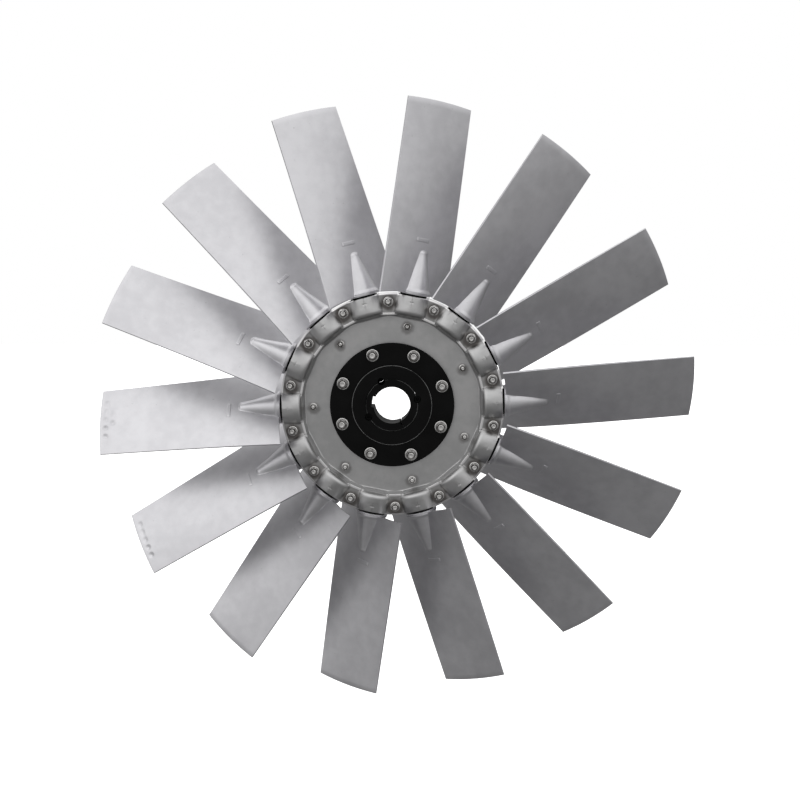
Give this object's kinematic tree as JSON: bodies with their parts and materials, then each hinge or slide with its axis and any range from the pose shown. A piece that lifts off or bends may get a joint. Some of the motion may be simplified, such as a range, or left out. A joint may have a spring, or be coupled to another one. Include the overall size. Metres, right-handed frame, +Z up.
{
  "type": "axial fan impeller",
  "caption": "Axial fan impeller: twisted aluminium blades with round shanks clamped in a bolted two-part hub, with a black drive flange and a keyed taper bush.",
  "frame": {"origin": "on the fan axis, where it meets the plane in which the two hub halves part and the blade shanks lie", "axes": "fan axis along Y, the drive flange and nuts face -Y, the picture's up is +Z, right is +X"},
  "size_m": [0.9764, 0.1319, 0.9752],
  "materials": {
    "blade_aluminium": "satin",
    "hub_aluminium": "cast, machined on its edges",
    "black_steel": "satin black",
    "zinc_steel": "bright"
  },
  "bodies": {
    "hub": {"hub_front_half": "hub_aluminium", "hub_back_half": "hub_aluminium", "drive_flange": "black_steel", "taper_bush": "black_steel", "bush_screw_1": "black_steel", "bush_screw_2": "black_steel", "clamp_bolt_01": "zinc_steel", "clamp_bolt_02": "zinc_steel", "clamp_bolt_03": "zinc_steel", "clamp_bolt_04": "zinc_steel", "clamp_bolt_05": "zinc_steel", "clamp_bolt_06": "zinc_steel", "clamp_bolt_07": "zinc_steel", "clamp_bolt_08": "zinc_steel", "clamp_bolt_09": "zinc_steel", "clamp_bolt_10": "zinc_steel", "clamp_bolt_11": "zinc_steel", "clamp_bolt_12": "zinc_steel", "clamp_bolt_13": "zinc_steel", "clamp_bolt_14": "zinc_steel", "flange_bolt_1": "zinc_steel", "flange_bolt_2": "zinc_steel", "flange_bolt_3": "zinc_steel", "flange_bolt_4": "zinc_steel", "flange_bolt_5": "zinc_steel", "flange_bolt_6": "zinc_steel", "flange_bolt_7": "zinc_steel", "flange_bolt_8": "zinc_steel"},
    "blade_01": {"blade_01": "blade_aluminium"},
    "blade_02": {"blade_02": "blade_aluminium"},
    "blade_03": {"blade_03": "blade_aluminium"},
    "blade_04": {"blade_04": "blade_aluminium"},
    "blade_05": {"blade_05": "blade_aluminium"},
    "blade_06": {"blade_06": "blade_aluminium"},
    "blade_07": {"blade_07": "blade_aluminium"},
    "blade_08": {"blade_08": "blade_aluminium"},
    "blade_09": {"blade_09": "blade_aluminium"},
    "blade_10": {"blade_10": "blade_aluminium"},
    "blade_11": {"blade_11": "blade_aluminium"},
    "blade_12": {"blade_12": "blade_aluminium"},
    "blade_13": {"blade_13": "blade_aluminium"},
    "blade_14": {"blade_14": "blade_aluminium"}
  },
  "joints": [
    {"name": "blade_01_pitch", "type": "hinge", "parent": "hub", "child": "blade_01", "pos_m": [0.0322, 0, 0.16692], "axis": [0.1894, 0, 0.9819], "range_deg": [-12, 12]},
    {"name": "blade_02_pitch", "type": "hinge", "parent": "hub", "child": "blade_02", "pos_m": [0.10144, 0, 0.13642], "axis": [0.5967, 0, 0.8025], "range_deg": [-12, 12]},
    {"name": "blade_03_pitch", "type": "hinge", "parent": "hub", "child": "blade_03", "pos_m": [0.15058, 0, 0.0789], "axis": [0.8858, 0, 0.4641], "range_deg": [-12, 12]},
    {"name": "blade_04_pitch", "type": "hinge", "parent": "hub", "child": "blade_04", "pos_m": [0.1699, 0, 0.00575], "axis": [0.9994, 0, 0.0338], "range_deg": [-12, 12]},
    {"name": "blade_05_pitch", "type": "hinge", "parent": "hub", "child": "blade_05", "pos_m": [0.15557, 0, -0.06854], "axis": [0.9151, 0, -0.4032], "range_deg": [-12, 12]},
    {"name": "blade_06_pitch", "type": "hinge", "parent": "hub", "child": "blade_06", "pos_m": [0.11043, 0, -0.12925], "axis": [0.6496, 0, -0.7603], "range_deg": [-12, 12]},
    {"name": "blade_07_pitch", "type": "hinge", "parent": "hub", "child": "blade_07", "pos_m": [0.04341, 0, -0.16436], "axis": [0.2553, 0, -0.9668], "range_deg": [-12, 12]},
    {"name": "blade_08_pitch", "type": "hinge", "parent": "hub", "child": "blade_08", "pos_m": [-0.0322, 0, -0.16692], "axis": [-0.1894, 0, -0.9819], "range_deg": [-12, 12]},
    {"name": "blade_09_pitch", "type": "hinge", "parent": "hub", "child": "blade_09", "pos_m": [-0.10144, 0, -0.13642], "axis": [-0.5967, 0, -0.8025], "range_deg": [-12, 12]},
    {"name": "blade_10_pitch", "type": "hinge", "parent": "hub", "child": "blade_10", "pos_m": [-0.15058, 0, -0.0789], "axis": [-0.8858, 0, -0.4641], "range_deg": [-12, 12]},
    {"name": "blade_11_pitch", "type": "hinge", "parent": "hub", "child": "blade_11", "pos_m": [-0.1699, 0, -0.00575], "axis": [-0.9994, 0, -0.0338], "range_deg": [-12, 12]},
    {"name": "blade_12_pitch", "type": "hinge", "parent": "hub", "child": "blade_12", "pos_m": [-0.15557, 0, 0.06854], "axis": [-0.9151, 0, 0.4032], "range_deg": [-12, 12]},
    {"name": "blade_13_pitch", "type": "hinge", "parent": "hub", "child": "blade_13", "pos_m": [-0.11043, 0, 0.12925], "axis": [-0.6496, 0, 0.7603], "range_deg": [-12, 12]},
    {"name": "blade_14_pitch", "type": "hinge", "parent": "hub", "child": "blade_14", "pos_m": [-0.04341, 0, 0.16436], "axis": [-0.2553, 0, 0.9668], "range_deg": [-12, 12]}
  ]
}
